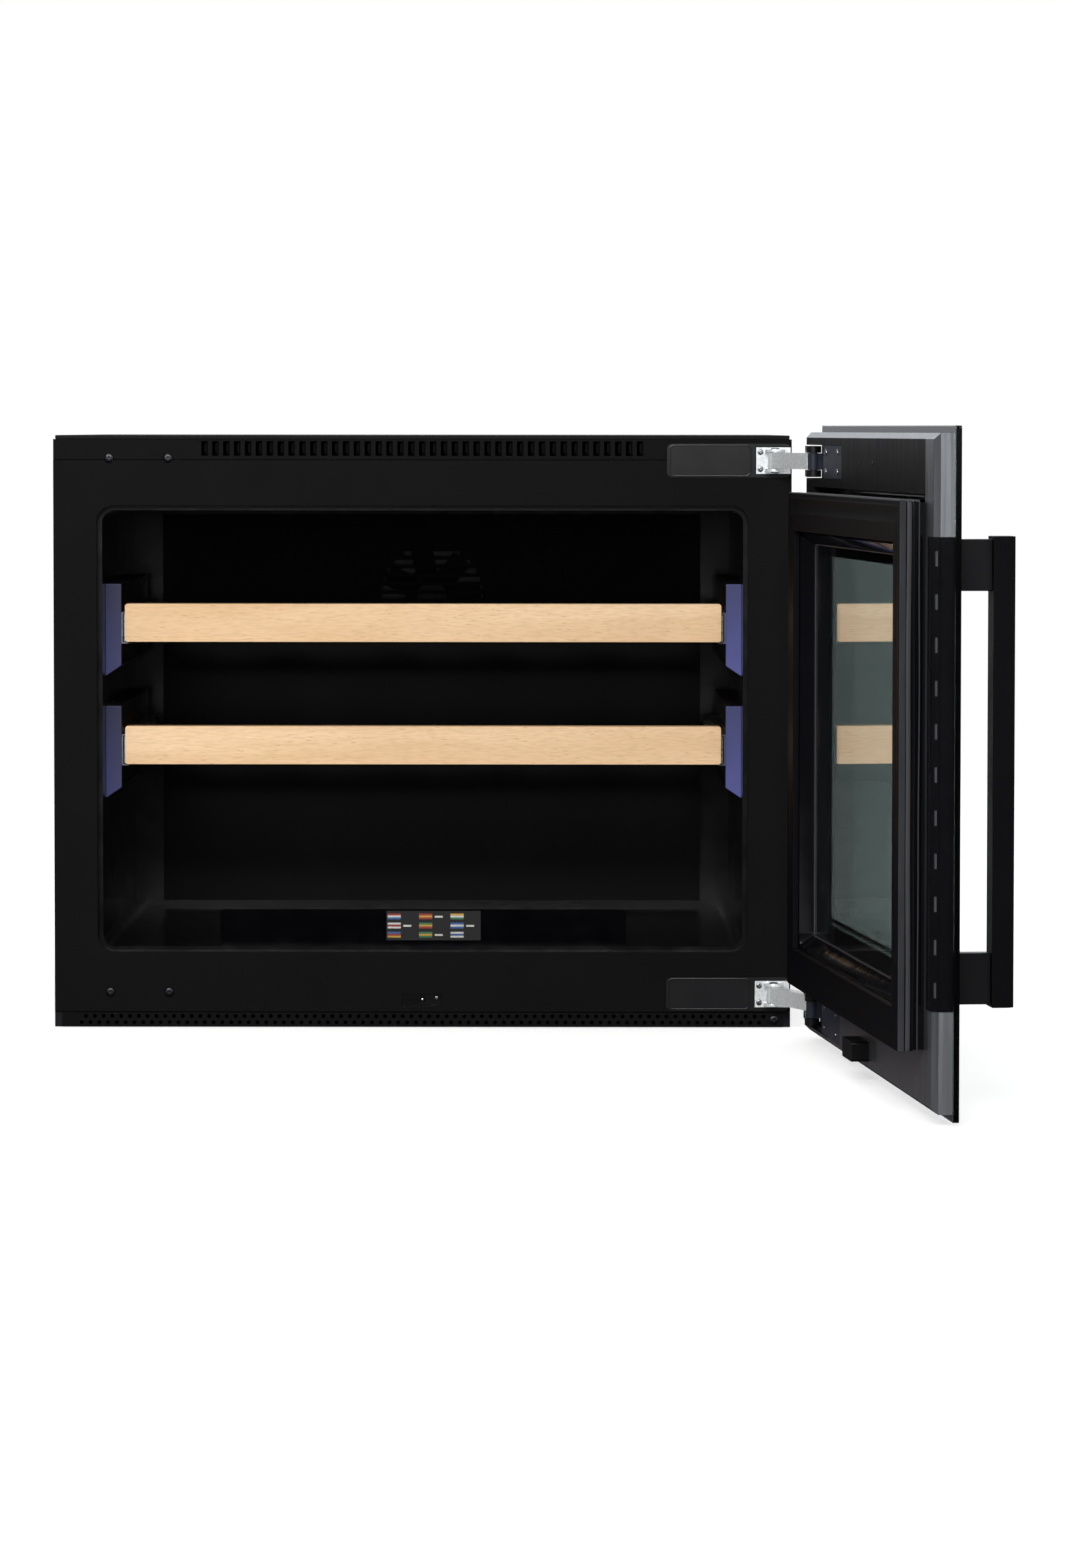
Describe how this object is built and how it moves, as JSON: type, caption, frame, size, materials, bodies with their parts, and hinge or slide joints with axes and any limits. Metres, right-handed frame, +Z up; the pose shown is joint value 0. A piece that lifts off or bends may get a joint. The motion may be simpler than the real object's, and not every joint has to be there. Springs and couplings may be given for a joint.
{
  "type": "wine cooler",
  "caption": "Built-in black wine cooler with a glass door on arm-and-link hinges, beech-fronted pull-out bottle shelves, lit side panels and a bar handle.",
  "frame": {"origin": "middle of the base pan's underside, which rests on the niche's floor", "axes": "+X to the right as seen from the front, +Y toward the back, +Z up"},
  "size_m": [0.6822, 1.214, 0.4575],
  "materials": {
    "black_steel": "matt black powder coat",
    "black_frame": "satin black enamel",
    "dark_plastic": "satin charcoal plastic",
    "liner_plastic": "smooth black polystyrene",
    "foam": "rigid foam",
    "zinc": "zinc-plated, satin",
    "black_zinc": "black passivated steel",
    "lit_panel": "lit light-guide plastic, lilac blue",
    "rail_steel": "bright rolled steel",
    "machine_black": "gloss black enamel",
    "fins": "plain fins",
    "glass_black": "grey-tinted toughened glass",
    "glass_clear": "low-emission glass",
    "alu": "brushed and anodised",
    "gasket": "soft magnetic gasket",
    "handle_black": "satin black anodised",
    "trim_black": "gloss black",
    "beech": "oiled beech"
  },
  "bodies": {
    "cabinet": {"outer_shell": "black_steel", "top_cover": "black_steel", "vent_strip": "black_frame", "front_frame": "black_frame", "cavity_liner": "liner_plastic", "insulation": "foam", "back_panel": "black_steel", "base_pan": "black_steel", "base_grille": "black_frame", "sill_plate": "liner_plastic", "hinge_cover_upper": "dark_plastic", "hinge_cover_lower": "dark_plastic", "hinge_bracket_upper": "zinc", "hinge_bracket_lower": "zinc", "door_sensor": "dark_plastic", "light_panel_upper_left": "lit_panel", "light_panel_upper_right": "lit_panel", "light_panel_lower_left": "lit_panel", "light_panel_lower_right": "lit_panel", "rail_outer_upper_left": "rail_steel", "rail_outer_upper_right": "rail_steel", "rail_outer_lower_left": "rail_steel", "rail_outer_lower_right": "rail_steel", "duct_cover": "liner_plastic", "duct_fan_motor": "dark_plastic", "compressor": "machine_black", "condenser": "fins", "machine_fan_frame": "dark_plastic", "power_inlet": "dark_plastic"},
    "duct_fan": {"duct_fan_rotor": "dark_plastic"},
    "machine_fan": {"machine_fan_rotor": "dark_plastic"},
    "upper_arm": {"hinge_arm_upper": "zinc"},
    "upper_link": {"hinge_link_upper": "black_zinc"},
    "lower_arm": {"hinge_arm_lower": "zinc"},
    "lower_link": {"hinge_link_lower": "black_zinc"},
    "door": {"glass_panel": "glass_black", "door_frame": "alu", "window_pane": "glass_clear", "door_liner": "trim_black", "door_gasket": "gasket", "handle_bar": "handle_black", "handle_post_upper": "handle_black", "handle_post_lower": "handle_black", "edge_trim": "trim_black", "sensor_magnet": "dark_plastic", "door_hinge_upper": "black_zinc", "door_hinge_lower": "black_zinc"},
    "middle_upper_left": {"rail_middle_upper_left": "rail_steel"},
    "middle_upper_right": {"rail_middle_upper_right": "rail_steel"},
    "middle_lower_left": {"rail_middle_lower_left": "rail_steel"},
    "middle_lower_right": {"rail_middle_lower_right": "rail_steel"},
    "shelf_upper": {"shelf_front_upper": "beech", "shelf_tray_upper": "beech", "rail_inner_upper_left": "rail_steel", "rail_inner_upper_right": "rail_steel"},
    "shelf_lower": {"shelf_front_lower": "beech", "shelf_tray_lower": "beech", "rail_inner_lower_left": "rail_steel", "rail_inner_lower_right": "rail_steel"}
  },
  "joints": [
    {"name": "door_swing", "type": "hinge", "parent": "upper_link", "child": "door", "pos_m": [0.29131, -0.39573, 0.431], "axis": [0, 0, 1], "range_deg": [-177.4, 0]},
    {"name": "upper_arm_turn", "type": "hinge", "parent": "cabinet", "child": "upper_arm", "pos_m": [0.267, -0.2755, 0.431], "axis": [0, 0, 1], "range_deg": [-112, 0]},
    {"name": "upper_link_turn", "type": "hinge", "parent": "upper_arm", "child": "upper_link", "pos_m": [0.2927, -0.33738, 0.431], "axis": [0, 0, 1], "range_deg": [0, 193.6]},
    {"name": "lower_arm_turn", "type": "hinge", "parent": "cabinet", "child": "lower_arm", "pos_m": [0.267, -0.2755, 0.0255], "axis": [0, 0, 1], "range_deg": [-112, 0]},
    {"name": "lower_link_turn", "type": "hinge", "parent": "lower_arm", "child": "lower_link", "pos_m": [0.2927, -0.33738, 0.0255], "axis": [0, 0, 1], "range_deg": [0, 193.6]},
    {"name": "shelf_upper_slide", "type": "slide", "parent": "cabinet", "child": "shelf_upper", "axis": [0, -1, 0], "range_m": [0, 0.24]},
    {"name": "middle_upper_left_slide", "type": "slide", "parent": "cabinet", "child": "middle_upper_left", "axis": [0, -1, 0], "range_m": [0, 0.12]},
    {"name": "middle_upper_right_slide", "type": "slide", "parent": "cabinet", "child": "middle_upper_right", "axis": [0, -1, 0], "range_m": [0, 0.12]},
    {"name": "shelf_lower_slide", "type": "slide", "parent": "cabinet", "child": "shelf_lower", "axis": [0, -1, 0], "range_m": [0, 0.24]},
    {"name": "middle_lower_left_slide", "type": "slide", "parent": "cabinet", "child": "middle_lower_left", "axis": [0, -1, 0], "range_m": [0, 0.12]},
    {"name": "middle_lower_right_slide", "type": "slide", "parent": "cabinet", "child": "middle_lower_right", "axis": [0, -1, 0], "range_m": [0, 0.12]},
    {"name": "duct_fan_spin", "type": "hinge", "parent": "cabinet", "child": "duct_fan", "pos_m": [0, 0.1125, 0.318], "axis": [0, 1, 0], "continuous": true},
    {"name": "machine_fan_spin", "type": "hinge", "parent": "cabinet", "child": "machine_fan", "pos_m": [-0.014, 0.213, 0.062], "axis": [1, 0, 0], "continuous": true}
  ],
  "couplings": [
    {"joint": "upper_arm_turn", "follows": "door_swing", "ratio": 0.62964},
    {"joint": "upper_link_turn", "follows": "door_swing", "ratio": -1.089},
    {"joint": "lower_arm_turn", "follows": "door_swing", "ratio": 0.62964},
    {"joint": "lower_link_turn", "follows": "door_swing", "ratio": -1.089},
    {"joint": "middle_upper_left_slide", "follows": "shelf_upper_slide", "ratio": 0.5},
    {"joint": "middle_upper_right_slide", "follows": "shelf_upper_slide", "ratio": 0.5},
    {"joint": "middle_lower_left_slide", "follows": "shelf_lower_slide", "ratio": 0.5},
    {"joint": "middle_lower_right_slide", "follows": "shelf_lower_slide", "ratio": 0.5}
  ]
}
